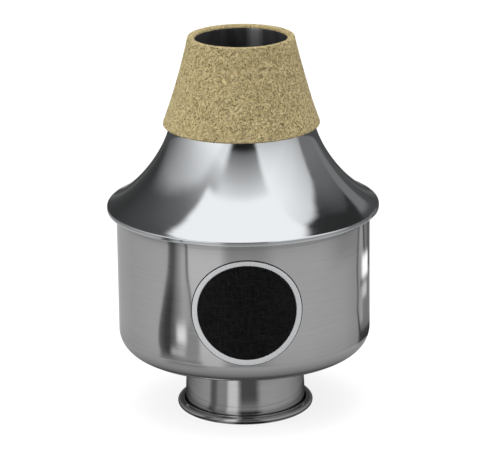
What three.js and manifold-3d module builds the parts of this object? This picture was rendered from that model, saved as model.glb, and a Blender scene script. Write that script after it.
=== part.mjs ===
// Trumpet wah-wah mute.
// Two spun aluminium shells, hemmed together at a thin lip, make the resonator. A cork collar on
// its tapered neck holds it in the bell of the trumpet. A sliding stem, a tube with a cup on its
// end, passes through a cork grip in the floor, and the player's hand opens and closes the cup.
// The mute stands on the rolled rim of that cup. Lengths are in millimetres and +Z is up.

import * as THREE from "three";
import { mergeVertices } from "three/addons/utils/BufferGeometryUtils.js";
import Module from "manifold-3d";

const wasm = await Module();
wasm.setup();

// Driving dimensions shared by several pieces.
const fitGap = 0.25; // left between pieces that touch
const cutOverrun = 2; // how far a cutter runs past what it cuts
const shellSegments = 48; // flats around the shells
const stemSegments = 36; // flats around the stem and what it slides in

// Lower shell. Its heights, like all of the body's, start at the underside of its floor.
const shellWall = 0.8;
const drumRadius = 48.9; // outside
const drumCornerRadius = 8.5; // outside, where the drum turns into the floor
const lipHeight = 57.9; // middle of the lip
const lipRadius = 52.5; // outermost edge of the lip
const seamWall = 0.6; // metal thinned by spinning, in the flange and the hem
const flangeBendRadius = 1.2; // along the middle of the metal

// Upper shell.
const hemReturn = 1.3; // how far the hem runs back in under the flange
const lipLand = 0.9; // nearly level metal between the flare and the turn of the hem
const lipDrop = 0.35; // how much that metal falls
const neckFootHeight = 89.5; // where the flare ends and the neck begins
const neckRecess = 1.2; // how far the neck's end lies below the top of the collar
const flareHandleShares = { neckOut: 0.06, neckDown: 0.31, lipOut: 0.61, lipDown: 0.82 };

// Cork collar.
const corkLength = 34.4;
const corkTopRadius = 20.45; // outside
const corkFootRadius = 30.3; // outside
const corkThickness = 2.1;
const corkEdgeRadius = 0.9;
const corkTaperShare = 0.73; // how much of the taper is straight, the rest being a gentle flare

// Stem tube.
const stemRadius = 9.5; // outside
const stemWall = 0.7;
const stemReach = 60; // above the cup's base
const stemFlangeWidth = 1.6; // rolled out over the end of the cup's socket

// Stem cup.
const cupHeight = 23.1;
const cupWall = 0.8;
const cupTopRadius = 22.9; // outside, where the shoulder meets the side
const cupShoulderRadius = 5; // outside
const socketDepth = 4.6; // from the top of the cup's base down to the socket's end
const socketBendRadius = 1; // along the middle of the metal
const beadRadius = 26.5; // outermost edge of the rolled rim
const beadHeight = 3.76;
const beadWall = 0.6;
const beadStepAngle = 24; // degrees between the flats of the roll, one of which is the landing
const beadSteps = 8; // flats from the landing round to the tip of the roll

// Guide and grip in the floor.
const guideWall = 0.7;
const guideHeight = 9.4; // above the underside of the floor
const guideFlangeRadius = 17;
const guideBendRadius = 0.9; // along the middle of the metal
const clinchDepth = 1.1; // how far the barrel swells above the floor to lock it
const clinchRise = 0.35; // above the inside of the floor
const gripThickness = 2.2;

// Badge.
const badgeWidth = 43.2; // measured round the drum
const badgeHeight = 41.1;
const badgeMiddleHeight = 29.45;
const badgeBorder = 2.2;
const badgeFilmThickness = 0.15;
const badgeFilmMargin = 0.3; // dark edge of the film that shows round the plate
const badgePlateThickness = 0.6;
const badgeFieldDepth = 0.3; // sunk into the plate inside the border
const badgeLayerGap = 0.12;
const badgeOutlineSteps = 44;

// Heights and radii that follow from them.
const bodyHeight = cupHeight + fitGap + guideWall + fitGap; // underside of the floor when it stands
const hemBend = seamWall + fitGap; // from the middle of the flange to the middle of the hem
const hemTurnRadius = lipRadius - hemBend - seamWall / 2;
const collarTop = neckFootHeight + corkLength;
const guideRadius = stemRadius + fitGap + gripThickness + fitGap + guideWall / 2;
const floorHoleRadius = guideRadius + guideWall / 2 + fitGap;

const brightMetal = { color: 0xccd0d4, roughness: 0.1, metalness: 1 };
const satinMetal = { color: 0xb4b7ba, roughness: 0.36, metalness: 1 };
const compositionCork = { color: 0xbfa676, roughness: 0.92, metalness: 0 };
const gripCork = { color: 0xab8a58, roughness: 0.95, metalness: 0 };
const etchedMetal = { color: 0xc4c7c9, roughness: 0.45, metalness: 0.9 };
const blackEnamel = { color: 0x121212, roughness: 0.4, metalness: 0 };
const darkFilm = { color: 0x1d1d1f, roughness: 0.8, metalness: 0 };

// A point of an outline: its distance from the axis, its height, and the wall there for sheet metal.
function at(radius, height, wall) {
  return { radius, height, wall };
}

// Points of an arc about (radius, height), from one angle to another in degrees, both included.
// Angle 0 points away from the axis and 90 points up.
function arc(radius, height, bend, from, to, steps, wall) {
  return Array.from({ length: steps + 1 }, (_, i) => {
    const angle = THREE.MathUtils.degToRad(from + ((to - from) * i) / steps);
    return at(radius + bend * Math.cos(angle), height + bend * Math.sin(angle), wall);
  });
}

// Points of a smooth curve from start to end, drawn towards two handles on the way.
function curve(start, handleA, handleB, end, steps, wall) {
  const [a, b, c, d] = [start, handleA, handleB, end].map((p) => new THREE.Vector2(p.radius, p.height));
  return new THREE.CubicBezierCurve(a, b, c, d).getPoints(steps).map((p) => at(p.x, p.y, wall));
}

function unitNormal(from, to) {
  return new THREE.Vector2(from.height - to.height, to.radius - from.radius).normalize();
}

// The closed outline of a sheet: its middle line moved half a wall to each side, with every flat
// kept at its full thickness.
function sheetOutline(line) {
  const sides = line.map((point, i) => {
    const before = i > 0 ? unitNormal(line[i - 1], point) : unitNormal(point, line[i + 1]);
    const after = i < line.length - 1 ? unitNormal(point, line[i + 1]) : before;
    const mitre = before.clone().add(after).divideScalar(1 + before.dot(after));
    const step = mitre.multiplyScalar(point.wall / 2);
    const middle = new THREE.Vector2(point.radius, point.height);
    return [middle.clone().add(step), middle.clone().sub(step)];
  });
  return [...sides.map((side) => side[0]), ...sides.map((side) => side[1]).reverse()];
}

// A solid turned about the Z axis from a closed outline that keeps clear of the axis.
function turned(outline, segments) {
  const points = outline.map((p) => (p.isVector2 ? p.clone() : new THREE.Vector2(p.radius, p.height)));
  if (THREE.ShapeUtils.isClockWise(points)) points.reverse();
  points.push(points[0].clone());
  const geometry = new THREE.LatheGeometry(points, segments);
  geometry.rotateX(Math.PI / 2);
  return geometry;
}

function spun(line, segments) {
  return turned(sheetOutline(line), segments);
}

function toSolid(geometry) {
  const bare = geometry.clone();
  bare.deleteAttribute("normal");
  bare.deleteAttribute("uv");
  const merged = mergeVertices(bare);
  const vertProperties = new Float32Array(merged.attributes.position.array);
  const triVerts = new Uint32Array(merged.index.array);
  return new wasm.Manifold(new wasm.Mesh({ numProp: 3, vertProperties, triVerts }));
}

function toGeometry(solid) {
  const mesh = solid.getMesh();
  const geometry = new THREE.BufferGeometry();
  geometry.setAttribute("position", new THREE.BufferAttribute(new Float32Array(mesh.vertProperties), 3));
  geometry.setIndex(new THREE.BufferAttribute(new Uint32Array(mesh.triVerts), 1));
  geometry.computeVertexNormals();
  return geometry;
}

// Outside radius of the collar at a share of its length, 0 at the top and 1 at the foot.
function corkRadiusAt(share) {
  const rise = corkTaperShare * share + (1 - corkTaperShare) * share * share;
  return corkTopRadius + (corkFootRadius - corkTopRadius) * rise;
}

// A line that keeps one distance inside the collar's outside, from a height down to its foot.
function insideCork(depth, topHeight, steps, wall) {
  return Array.from({ length: steps + 1 }, (_, i) => {
    const height = topHeight + ((neckFootHeight - topHeight) * i) / steps;
    return at(corkRadiusAt((collarTop - height) / corkLength) - depth, height, wall);
  });
}

// Neck, flare and the hem that clasps the lower shell's flange, in one piece of metal.
function upperShell() {
  const neckDepth = corkThickness + fitGap + shellWall / 2;
  const neck = insideCork(neckDepth, collarTop - neckRecess, 4, shellWall);
  const foot = neck[neck.length - 1];
  const hemTop = lipHeight + hemBend;
  const end = at(hemTurnRadius - lipLand, hemTop + lipDrop);
  const run = end.radius - foot.radius;
  const fall = foot.height - end.height;
  const { neckOut, neckDown, lipOut, lipDown } = flareHandleShares;
  const handleA = at(foot.radius + run * neckOut, foot.height - fall * neckDown);
  const handleB = at(foot.radius + run * lipOut, foot.height - fall * lipDown);
  const flare = curve(foot, handleA, handleB, end, 9, shellWall).slice(1);
  flare[flare.length - 1].wall = seamWall;
  const hem = arc(hemTurnRadius, lipHeight, hemBend, 90, -90, 5, seamWall);
  const tip = at(hemTurnRadius - hemReturn, lipHeight - hemBend, seamWall);
  return spun([...neck, ...flare, ...hem, tip], shellSegments);
}

// Flange, drum, rounded corner and floor, with the hole for the stem guide.
function lowerShell() {
  const middle = drumRadius - shellWall / 2;
  const bend = arc(
    middle + flangeBendRadius, lipHeight - flangeBendRadius, flangeBendRadius, 90, 180, 2, seamWall);
  bend[bend.length - 1].wall = shellWall;
  const cornerBend = drumCornerRadius - shellWall / 2;
  const corner = arc(
    middle - cornerBend, shellWall / 2 + cornerBend, cornerBend, 0, -90, 6, shellWall);
  const flangeEdge = at(hemTurnRadius, lipHeight, seamWall);
  const holeEdge = at(floorHoleRadius, shellWall / 2, shellWall);
  return spun([flangeEdge, ...bend, ...corner, holeEdge], shellSegments);
}

// A tapered sleeve, as thick at the top as at the foot, with its outer edges rubbed round.
function corkCollar() {
  const inside = insideCork(corkThickness, collarTop, 4);
  const foot = arc(
    corkRadiusAt(1) - corkEdgeRadius, neckFootHeight + corkEdgeRadius, corkEdgeRadius, -90, 0, 3);
  const top = arc(
    corkRadiusAt(0) - corkEdgeRadius, collarTop - corkEdgeRadius, corkEdgeRadius, 0, 90, 3);
  const side = insideCork(0, collarTop, 6).slice(1, -1).reverse();
  return turned([...inside, ...foot, ...side, ...top], shellSegments);
}

// A plain tube whose lower end is rolled out over the end of the cup's socket.
function stemTube() {
  const middle = stemRadius - stemWall / 2;
  const socketEnd = cupHeight - socketDepth;
  const bend = stemWall / 2 + fitGap;
  const roll = arc(middle + bend, socketEnd, bend, 180, 270, 3, stemWall);
  const top = at(middle, cupHeight + stemReach, stemWall);
  const flangeEdge = at(stemRadius + stemFlangeWidth, socketEnd - bend, stemWall);
  return spun([top, ...roll, flangeEdge], stemSegments);
}

// Socket, base, shoulder and side, ending in a rim rolled outwards round an open curl.
function stemCup() {
  const baseMiddle = cupHeight - cupWall / 2;
  const socketMiddle = stemRadius + fitGap + cupWall / 2;
  const socketEnd = at(socketMiddle, cupHeight - socketDepth, cupWall);
  const socketBend = arc(
    socketMiddle + socketBendRadius, baseMiddle - socketBendRadius, socketBendRadius, 180, 90, 2, cupWall);
  const shoulderBend = cupShoulderRadius - cupWall / 2;
  const shoulder = arc(
    cupTopRadius - cupShoulderRadius, cupHeight - cupShoulderRadius, shoulderBend, 90, 0, 5, cupWall);
  const curlBend = (beadHeight - beadWall) / 2;
  const curlMiddle = beadRadius - beadHeight / 2;
  const landing = 270 - beadStepAngle / 2;
  const curlHeight = beadWall / 2 + curlBend * Math.cos(THREE.MathUtils.degToRad(beadStepAngle / 2));
  const tipAngle = landing + beadStepAngle * beadSteps;
  const inner = arc(curlMiddle, curlHeight, curlBend, 180, landing, 3, beadWall).slice(0, -1);
  const outer = arc(curlMiddle, curlHeight, curlBend, landing, tipAngle, beadSteps, beadWall);
  return spun([socketEnd, ...socketBend, ...shoulder, ...inner, ...outer], stemSegments);
}

// An eyelet through the floor: a flange below, a swelling above that locks it, and a turned-in top
// that keeps the grip in its barrel.
function stemGuide() {
  const flangeMiddle = -fitGap - guideWall / 2;
  const flangeEdge = at(guideFlangeRadius, flangeMiddle, guideWall);
  const lowerBend = arc(
    guideRadius + guideBendRadius, flangeMiddle + guideBendRadius, guideBendRadius, 270, 180, 2, guideWall);
  const swellingFoot = shellWall + fitGap + clinchRise;
  const swelling = [0, 1, 2].map((i) =>
    at(guideRadius + (i === 1 ? clinchDepth : 0), swellingFoot + i * guideWall, guideWall));
  const lipMiddle = guideHeight - guideWall / 2;
  const upperBend = arc(
    guideRadius - guideBendRadius, lipMiddle - guideBendRadius, guideBendRadius, 0, 90, 2, guideWall);
  const lipEdge = at(stemRadius + 2 * fitGap, lipMiddle, guideWall);
  return spun([flangeEdge, ...lowerBend, ...swelling, ...upperBend, lipEdge], stemSegments);
}

// A cork ring that fills the guide's barrel and grips the stem.
function gripRing() {
  const inner = stemRadius + fitGap;
  const outer = inner + gripThickness;
  const bottom = -guideWall;
  const top = guideHeight - guideWall - fitGap;
  const chamfer = guideBendRadius;
  const outline = [
    at(inner, bottom), at(outer - chamfer, bottom), at(outer, bottom + chamfer),
    at(outer, top - chamfer), at(outer - chamfer, top), at(inner, top)];
  return turned(outline, stemSegments);
}

// A prism across the drum, from the axis out to the front, with the outline of an oval that has
// been wrapped round the drum.
function ovalCutter(width, height) {
  const points = Array.from({ length: badgeOutlineSteps }, (_, i) => {
    const angle = (2 * Math.PI * i) / badgeOutlineSteps;
    const round = (width / 2) * Math.cos(angle);
    return new THREE.Vector2(drumRadius * Math.sin(round / drumRadius), (height / 2) * Math.sin(angle));
  });
  const depth = drumRadius + cutOverrun;
  const geometry = new THREE.ExtrudeGeometry(new THREE.Shape(points), { depth, bevelEnabled: false });
  geometry.rotateX(Math.PI / 2);
  geometry.translate(0, 0, badgeMiddleHeight);
  return toSolid(geometry);
}

// A layer of the badge that follows the drum between two radii.
function wrappedOval(width, height, inner, outer) {
  const half = height / 2 + cutOverrun;
  const [low, high] = [badgeMiddleHeight - half, badgeMiddleHeight + half];
  const band = [at(inner, low), at(outer, low), at(outer, high), at(inner, high)];
  return toSolid(turned(band, shellSegments)).intersect(ovalCutter(width, height));
}

const filmInner = drumRadius + badgeLayerGap;
const filmOuter = filmInner + badgeFilmThickness;
const plateInner = filmOuter + badgeLayerGap;
const plateOuter = plateInner + badgePlateThickness;
const fieldInner = plateOuter - badgeFieldDepth;
const fieldWidth = badgeWidth - 2 * badgeBorder;
const fieldHeight = badgeHeight - 2 * badgeBorder;

function badgeFilm() {
  const grow = 2 * badgeFilmMargin;
  return toGeometry(wrappedOval(badgeWidth + grow, badgeHeight + grow, filmInner, filmOuter));
}

// The plate stands proud as a border round its sunk field.
function badgePlate() {
  const blank = wrappedOval(badgeWidth, badgeHeight, plateInner, plateOuter);
  const sunk = wrappedOval(fieldWidth, fieldHeight, fieldInner, plateOuter + cutOverrun);
  return toGeometry(blank.subtract(sunk));
}

function badgeField() {
  const shrink = 2 * badgeLayerGap;
  const inner = fieldInner + badgeLayerGap;
  return toGeometry(wrappedOval(fieldWidth - shrink, fieldHeight - shrink, inner, plateOuter));
}

function piece(name, geometry, finish) {
  const mesh = new THREE.Mesh(geometry, new THREE.MeshStandardMaterial(finish));
  mesh.name = name;
  return mesh;
}

const body = new THREE.Group();
body.position.z = bodyHeight;
body.add(piece("upper_shell", upperShell(), brightMetal));
body.add(piece("lower_shell", lowerShell(), satinMetal));
body.add(piece("cork_collar", corkCollar(), compositionCork));
body.add(piece("stem_guide", stemGuide(), satinMetal));
body.add(piece("grip_ring", gripRing(), gripCork));
body.add(piece("badge_film", badgeFilm(), darkFilm));
body.add(piece("badge_plate", badgePlate(), etchedMetal));
body.add(piece("badge_field", badgeField(), blackEnamel));

const stem = new THREE.Group();
stem.add(piece("stem_tube", stemTube(), satinMetal));
stem.add(piece("stem_cup", stemCup(), satinMetal));

const mute = new THREE.Group();
mute.add(body, stem);

export default mute;
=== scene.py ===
# %% [markdown]
# # A trumpet wah-wah mute
# The mute is two spun aluminium shells hemmed together, a cork collar, a stem with a cup that
# slides in the floor, and an oval badge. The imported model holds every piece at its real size, and
# it stays as it is. This lesson lays a fine surface over each piece, gives it the finish of the
# real one, and lights it the way a studio lights polished metal.

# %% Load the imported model
import math

import bpy
import numpy as np
from mathutils import Matrix, Vector


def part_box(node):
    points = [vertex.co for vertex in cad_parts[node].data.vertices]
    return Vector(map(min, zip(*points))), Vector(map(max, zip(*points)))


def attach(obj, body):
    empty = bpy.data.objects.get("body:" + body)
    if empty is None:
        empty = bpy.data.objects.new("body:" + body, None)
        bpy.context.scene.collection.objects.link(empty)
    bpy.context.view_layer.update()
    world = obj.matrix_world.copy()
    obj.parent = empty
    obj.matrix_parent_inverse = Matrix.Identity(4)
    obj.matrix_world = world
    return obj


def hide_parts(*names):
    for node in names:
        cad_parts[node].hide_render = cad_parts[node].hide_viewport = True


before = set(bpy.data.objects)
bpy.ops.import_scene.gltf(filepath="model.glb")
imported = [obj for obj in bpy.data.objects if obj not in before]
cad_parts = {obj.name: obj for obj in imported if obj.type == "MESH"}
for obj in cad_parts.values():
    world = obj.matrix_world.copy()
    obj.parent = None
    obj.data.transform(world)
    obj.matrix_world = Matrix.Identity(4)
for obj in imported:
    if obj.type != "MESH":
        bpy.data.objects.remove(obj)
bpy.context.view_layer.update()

# %% [markdown]
# ## Sizes
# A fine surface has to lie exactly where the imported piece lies, so its main sizes are read from
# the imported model's boxes. Only what a box can't tell, such as a wall or the bend of an edge, is
# written here. All sizes are in millimetres and turn to metres once, where a mesh is made.

# %% Sizes read from the model, and walls
MM = 0.001


def box_mm(node):
    """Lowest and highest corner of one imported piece, in millimetres."""
    low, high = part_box(node)
    return np.array(low) / MM, np.array(high) / MM


FIT_GAP = 0.25
SHELL_WALL = 0.8
SEAM_WALL = 0.6
HEM_THICKNESS = 2.3
LIP_SINK = 0.6

lower_low, _ = box_mm("lower_shell")
upper_low, upper_high = box_mm("upper_shell")
collar_low, collar_high = box_mm("cork_collar")
floor_height, lip_radius = lower_low[2], upper_high[0]
lip_middle = upper_low[2] + HEM_THICKNESS / 2 - LIP_SINK
print(f"lip radius {lip_radius:.2f}, lip height {lip_middle:.2f}, floor {floor_height:.2f}")

# %% [markdown]
# ## Outlines
# Everything on this mute was turned or spun on a lathe, so each piece is an outline carried round
# the axis. Sheet metal could be drawn as two lines by hand, but then its wall would vary. Here a
# middle line is drawn once and moved half a wall to each side, as the metal really lies.

# %% Lines, arcs and curves
SAME_POINT = 1e-4


def line(start, end, steps):
    """Points evenly along a straight line: the start plus a growing share of the way to the end."""
    share = np.linspace(0, 1, steps + 1)[:, None]
    return (1 - share) * np.array(start) + share * np.array(end)


def arc(centre, bend, start, end, steps):
    """Points at one distance from a centre, at even steps of angle: 0 is outwards, 90 is up."""
    angle = np.radians(np.linspace(start, end, steps + 1))
    return np.array(centre) + bend * np.stack([np.cos(angle), np.sin(angle)], axis=1)


def bezier(start, handle_a, handle_b, end, steps):
    """A cubic curve: its four points weighted by the four terms of (share + 1 - share) cubed."""
    share = np.linspace(0, 1, steps + 1)[:, None]
    rest = 1 - share
    points = [np.array(p) for p in (start, handle_a, handle_b, end)]
    weights = [rest**3, 3 * rest**2 * share, 3 * rest * share**2, share**3]
    return sum(weight * point for weight, point in zip(weights, points))


def joined(*stretches):
    """Several stretches as one line, with the points that lie on each other dropped."""
    points = np.concatenate(stretches)
    step = np.linalg.norm(np.diff(points, axis=0), axis=1)
    return points[np.concatenate([[True], step > SAME_POINT])]


def lengths_along(points):
    """Distance from the first point to each point, measured along the line."""
    return np.concatenate([[0], np.cumsum(np.linalg.norm(np.diff(points, axis=0), axis=1))])


# %% Sheet metal from its middle line
EDGE_STEPS = 6


def sheet(middle, wall):
    """Closed outline of sheet metal. Each point of the middle line moves half a wall along the
    line's normal, then the same line comes back on the other side, and a half circle as wide as
    the wall rounds each edge. The first half of the outline is the left side of the line."""
    half = np.broadcast_to(np.asarray(wall, float), len(middle))[:, None] / 2
    along = np.gradient(middle, lengths_along(middle), axis=0)
    along /= np.linalg.norm(along, axis=1, keepdims=True)
    normal = np.stack([-along[:, 1], along[:, 0]], axis=1)
    angle = np.linspace(0, np.pi, EDGE_STEPS + 1)[1:-1, None]
    far_edge = middle[-1] + half[-1] * (np.cos(angle) * normal[-1] + np.sin(angle) * along[-1])
    near_edge = middle[0] - half[0] * (np.cos(angle) * normal[0] + np.sin(angle) * along[0])
    sides = middle + half * normal, (middle - half * normal)[::-1]
    return np.concatenate([sides[0], far_edge, sides[1], near_edge])


def far_side_rows(picked):
    """Rows of faces on the right side of a sheet where its middle line's points are picked, and
    those of the rounded edge at its start."""
    rows = np.zeros(2 * len(picked) + 2 * (EDGE_STEPS - 1), bool)
    first = len(picked) + EDGE_STEPS - 1
    rows[first : first + len(picked)] = picked[::-1]
    rows[first + len(picked) - 1 :] = True
    return rows


print("an arc of 4 steps:", arc((10, 0), 1, 0, 90, 4).round(2).tolist())

# %% [markdown]
# ## From an outline to a mesh
# Blender's Screw modifier could turn an outline, but the grid is worked out here instead: whole
# arrays give the points, the faces and the UV map at once, the seam closes exactly, and the metal
# can be given the slight unevenness of spun sheet. U counts turns round the axis, and V is the
# length along the outline in metres, so a lathe's grooves can follow any slope of the surface.

# %% Grids, their faces and their UV map
def grid_faces(rows, columns, rows_close):
    """Quads of a grid: corner (i, j) joins (i + 1, j), (i + 1, j + 1) and (i, j + 1). The last
    column joins the first, and so does the last row where rows_close is true."""
    i, j = np.meshgrid(np.arange(rows if rows_close else rows - 1), np.arange(columns), indexing="ij")
    below, beside = (i + 1) % rows, (j + 1) % columns
    corners = [i * columns + j, below * columns + j, below * columns + beside, i * columns + beside]
    return np.stack(corners, axis=-1).reshape(-1, 4)


def grid_uv(lengths, columns):
    """UV of each quad's corners: U is the share of a turn, V the length along the rows."""
    i, j = np.meshgrid(np.arange(len(lengths) - 1), np.arange(columns), indexing="ij")
    u = np.stack([j, j, j + 1, j + 1], axis=-1) / columns
    v = np.stack([lengths[i], lengths[i + 1], lengths[i + 1], lengths[i]], axis=-1)
    return np.stack([u, v], axis=-1).reshape(-1, 4, 2)


def signed_volume(points, faces):
    """Volume inside the faces: a sixth of the sum of a . (b x c) over their triangles. It comes
    out below zero where the faces point inwards."""
    total = 0.0
    for corner in range(1, faces.shape[1] - 1):
        a, b, c = (points[faces[:, k]] for k in (0, corner, corner + 1))
        total += np.einsum("ij,ij->", a, np.cross(b, c)) / 6
    return total


def linked(name, data):
    """An object that holds a mesh, a lamp or a camera, linked to the scene."""
    thing = bpy.data.objects.new(name, data)
    bpy.context.scene.collection.objects.link(thing)
    return thing


def new_piece(name, points, face_sets, uv_sets, finishes):
    """A smooth mesh object from points in millimetres. Each face set is an array of corner
    numbers with its own array of UV places, turned over where its solid would be inside out."""
    if sum(signed_volume(points, faces) for faces in face_sets) < 0:
        face_sets = [faces[:, ::-1] for faces in face_sets]
        uv_sets = [uv[:, ::-1] for uv in uv_sets]
    mesh = bpy.data.meshes.new(name)
    mesh.from_pydata((points * MM).tolist(), [], [face for faces in face_sets for face in faces.tolist()])
    mesh.polygons.foreach_set("use_smooth", np.ones(len(mesh.polygons), bool))
    layer = mesh.uv_layers.new(name="Turning")
    places = np.concatenate([uv.reshape(-1, 2) for uv in uv_sets]).astype(np.float32)
    layer.uv.foreach_set("vector", places.ravel())
    for finish in finishes:
        mesh.materials.append(finish)
    mesh.update()
    return linked(name, mesh)


def turned(name, outline, columns, finishes, swell=0.0):
    """A closed outline carried round the axis: at each turn x = r sin(turn), y = -r cos(turn) and
    z is the height, where r is the outline's radius plus a swell in millimetres."""
    turn = np.linspace(0, 2 * np.pi, columns, endpoint=False)[None, :]
    radius = outline[:, :1] + swell
    height = np.broadcast_to(outline[:, 1:], (len(outline), columns))
    grid = np.stack([radius * np.sin(turn), -radius * np.cos(turn), height], axis=-1)
    lengths = lengths_along(np.concatenate([outline, outline[:1]])) * MM
    faces = grid_faces(len(outline), columns, rows_close=True)
    return new_piece(name, grid.reshape(-1, 3), [faces], [grid_uv(lengths, columns)], finishes)


def second_finish(piece, columns, rows):
    """Gives the faces of some rows of a turned piece its second finish."""
    index = np.zeros(len(piece.data.polygons), np.int32).reshape(-1, columns)
    index[rows] = 1
    piece.data.polygons.foreach_set("material_index", index.ravel())


def stands_for(piece, node, body):
    """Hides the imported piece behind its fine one, which rides on the same body."""
    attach(piece, body)
    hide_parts(node)
    print(f"{piece.name}: {len(piece.data.polygons)} faces for {node} on {body}")


# %% [markdown]
# ## Spun metal is never quite true
# A spinner presses a flat disc over a wooden chuck, and the sheet springs back a little
# differently all round. The eye doesn't see a few hundredths of a millimetre, but a reflection
# does: it wanders. A few long waves round the axis and along it give that.

# %% Unevenness of spun sheet
SPIN_SEED = 7
SPIN_WAVES = 7
SPIN_LENGTHS = (28, 70)


def spin_sway(outline, columns, depth):
    """Sum of waves, each the cosine of (a whole number of turns + height / its length + a random
    start), with a share of the depth in millimetres that falls as the waves get shorter."""
    random = np.random.default_rng(SPIN_SEED)
    turn = np.linspace(0, 2 * np.pi, columns, endpoint=False)[None, :]
    sway = np.zeros((len(outline), columns))
    for around in range(2, 2 + SPIN_WAVES):
        wave_length = random.uniform(*SPIN_LENGTHS) * random.choice([-1, 1])
        start = random.uniform(0, 2 * np.pi)
        sway += np.cos(around * turn + 2 * np.pi * outline[:, 1:] / wave_length + start) / around
    return depth * sway


# %% [markdown]
# ## Nodes
# Finishes are built from nodes in code. One small function adds any node, sets it up and links
# it, so a finish reads as a list of what it is made of. Colours are written as sRGB, as a paint
# chart has them, and turned to the linear values that the renderer works in.

# %% Colours and nodes
def linear(colour):
    """sRGB hex to linear light: each channel c becomes ((c + 0.055) / 1.055) ** 2.4, or c / 12.92
    where it is very dark."""
    c = np.array([int(colour[i : i + 2], 16) for i in (1, 3, 5)]) / 255
    return (*np.where(c <= 0.04045, c / 12.92, ((c + 0.055) / 1.055) ** 2.4).tolist(), 1.0)


def add(tree, kind, inputs=None, **settings):
    """Adds one shader node. Settings are its own properties. Inputs, by name or number, are
    values, outputs of other nodes, or whole nodes, which stand for their first used output."""
    node = tree.nodes.new("ShaderNode" + kind)
    for name, value in settings.items():
        setattr(node, name, value)
    for name, value in (inputs or {}).items():
        if isinstance(value, bpy.types.Node):
            value = next(output for output in value.outputs if output.enabled)
        if isinstance(value, bpy.types.NodeSocket):
            tree.links.new(value, node.inputs[name])
        else:
            node.inputs[name].default_value = value
    return node


def new_finish(name, build, *details):
    """A material whose surface is the shader that a function builds in its node tree."""
    finish = bpy.data.materials.new(name)
    finish.use_nodes = True
    tree = finish.node_tree
    tree.nodes.clear()
    add(tree, "OutputMaterial", {"Surface": build(tree, *details)})
    return finish


def turning_noise(tree, pitch, reach, detail=2.0):
    """Noise that changes over one pitch, in millimetres, along the outline and only over the
    reach, in millimetres, round the axis, so that it lies in the direction of a lathe's cut."""
    place = add(tree, "TexCoord").outputs
    xyz = add(tree, "SeparateXYZ", {0: place["Object"]}).outputs
    along = add(tree, "SeparateXYZ", {0: place["UV"]}).outputs
    stretched = {axis: add(tree, "Math", {0: value, 1: 1 / (size * MM)}, operation="MULTIPLY")
                 for axis, value, size in (("X", xyz["X"], reach), ("Y", xyz["Y"], reach),
                                           ("Z", along["Y"], pitch))}
    return add(tree, "TexNoise", {"Vector": add(tree, "CombineXYZ", stretched), "Scale": 1.0,
                                  "Detail": detail})


print("middle grey #808080 is", round(linear("#808080")[0], 3), "in linear light")

# %% [markdown]
# ## Aluminium
# Aluminium reflects about nine tenths of the light with hardly any tint. The flare was buffed to
# a mirror and keeps only faint rings. The drum and the cup were finished with a fine abrasive
# held against the turning work, which leaves grooves round the axis. Such grooves spread a
# reflection across themselves, up and down, and keep it sharp sideways: that is an anisotropic
# finish with its tangent turned a quarter from the direction round the axis.

# %% Polished and satin aluminium
POLISH_PITCH = 0.9
POLISH_REACH = 40
RING_DEPTH = 0.05
GROOVE_PITCH = 0.5  # real grooves are about 0.05 mm, too fine to show
GROOVE_REACH = 16
GROOVE_DEPTH = 0.03
QUARTER_TURN = 0.25
STAIN_LENGTH = 30
STAIN_WIDTH = 4
# a painted highlight streak: a soft band of the inner metal made lighter at the back of the neck
PAINTED_STREAK_ASIDE = 5.7
PAINTED_STREAK_EDGES = (3.5, 0.9)
PAINTED_STREAK_SHARE = 0.6
NOISE_SPAN = {"From Min": 0.3, "From Max": 0.7}


def polished_aluminium(tree):
    """Aluminium buffed on the lathe: a near mirror, with rings just visible in highlights."""
    rings = turning_noise(tree, POLISH_PITCH, POLISH_REACH)
    haze = add(tree, "MapRange", {"Value": rings, **NOISE_SPAN, "To Min": 0.07, "To Max": 0.12})
    bump = add(tree, "Bump", {"Height": rings, "Strength": 0.04, "Distance": RING_DEPTH * MM})
    return add(tree, "BsdfPrincipled", {"Base Color": linear("#EFF2F5"), "Metallic": 1.0,
                                        "Roughness": haze, "Normal": bump})


def satin_aluminium(tree):
    """Aluminium finished with abrasive cloth on the lathe: a soft grey with fine grooves, whose
    reflections are drawn out up and down."""
    grooves = turning_noise(tree, GROOVE_PITCH, GROOVE_REACH, detail=3.0)
    haze = add(tree, "MapRange", {"Value": grooves, **NOISE_SPAN, "To Min": 0.06, "To Max": 0.09})
    tone = add(tree, "Mix", {0: grooves, 6: linear("#D2D3D2"), 7: linear("#E3E4E3")},
               data_type="RGBA")
    bump = add(tree, "Bump", {"Height": grooves, "Strength": 0.04, "Distance": GROOVE_DEPTH * MM})
    tangent = add(tree, "Tangent", direction_type="RADIAL", axis="Z")
    return add(tree, "BsdfPrincipled", {
        "Base Color": tone, "Metallic": 1.0, "Roughness": haze, "Anisotropic": 0.5,
        "Anisotropic Rotation": QUARTER_TURN, "Tangent": tangent, "Normal": bump})


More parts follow.
